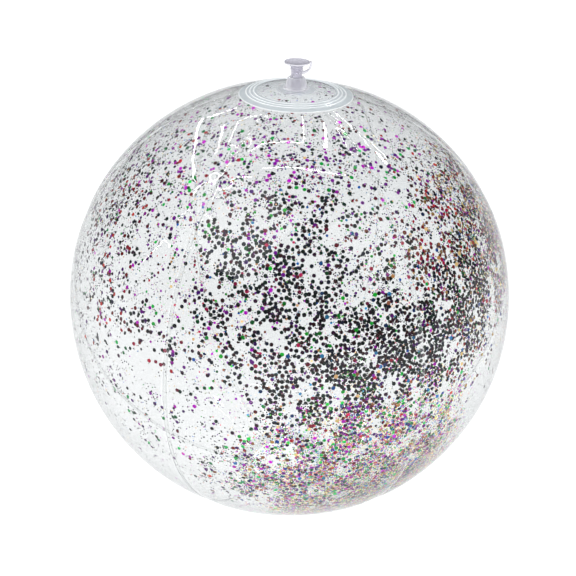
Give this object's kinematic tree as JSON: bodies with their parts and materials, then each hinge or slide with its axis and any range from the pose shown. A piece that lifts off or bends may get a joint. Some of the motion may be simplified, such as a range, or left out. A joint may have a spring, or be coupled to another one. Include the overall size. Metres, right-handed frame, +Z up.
{
  "type": "inflatable beach ball",
  "caption": "Inflatable clear vinyl beach ball of lap-welded panels closed by polar discs, with glitter inside and a push-in valve with a tethered plug.",
  "frame": {"origin": "middle of the flat of the lower polar disc, on the floor", "axes": "+Z up along the valve, +X towards the plug's tether"},
  "size_m": [0.3, 0.3, 0.3146],
  "materials": {
    "panel_film": "clear gloss vinyl film",
    "disc_film": "clear gloss vinyl film with embossed weld rings",
    "valve_vinyl": "translucent soft moulded vinyl",
    "flap_vinyl": "translucent thin vinyl",
    "glitter_large_black": "metallised foil glitter",
    "glitter_large_purple": "metallised foil glitter",
    "glitter_large_green": "metallised foil glitter",
    "glitter_large_red": "metallised foil glitter",
    "glitter_large_gold": "metallised foil glitter",
    "glitter_large_blue": "metallised foil glitter",
    "glitter_small_black": "metallised foil glitter",
    "glitter_small_purple": "metallised foil glitter",
    "glitter_small_silver": "metallised foil glitter"
  },
  "bodies": {
    "shell": {"panel_1": "panel_film", "panel_2": "panel_film", "panel_3": "panel_film", "panel_4": "panel_film", "panel_5": "panel_film", "panel_6": "panel_film", "top_disc": "disc_film", "bottom_disc": "disc_film", "valve_flange": "valve_vinyl", "valve_bell": "valve_vinyl", "glitter_large_black": "glitter_large_black", "glitter_large_purple": "glitter_large_purple", "glitter_large_green": "glitter_large_green", "glitter_large_red": "glitter_large_red", "glitter_large_gold": "glitter_large_gold", "glitter_large_blue": "glitter_large_blue", "glitter_small_black": "glitter_small_black", "glitter_small_purple": "glitter_small_purple", "glitter_small_silver": "glitter_small_silver"},
    "stem": {"valve_stem": "valve_vinyl", "plug_tether": "valve_vinyl"},
    "plug": {"valve_plug": "valve_vinyl"},
    "flap": {"check_flap": "flap_vinyl"}
  },
  "joints": [
    {"name": "valve_push", "type": "slide", "parent": "shell", "child": "stem", "axis": [0, 0, -1], "range_m": [0, 0.009], "deforming": ["valve_bell"]},
    {"name": "plug_hinge", "type": "hinge", "parent": "stem", "child": "plug", "pos_m": [0.008, 0, 0.31087], "axis": [0, 1, 0], "range_deg": [0, 160], "deforming": ["plug_tether"]},
    {"name": "check_flap_hinge", "type": "hinge", "parent": "stem", "child": "flap", "pos_m": [-0.00254, 0, 0.29527], "axis": [0, 1, 0], "range_deg": [0, 60]}
  ]
}
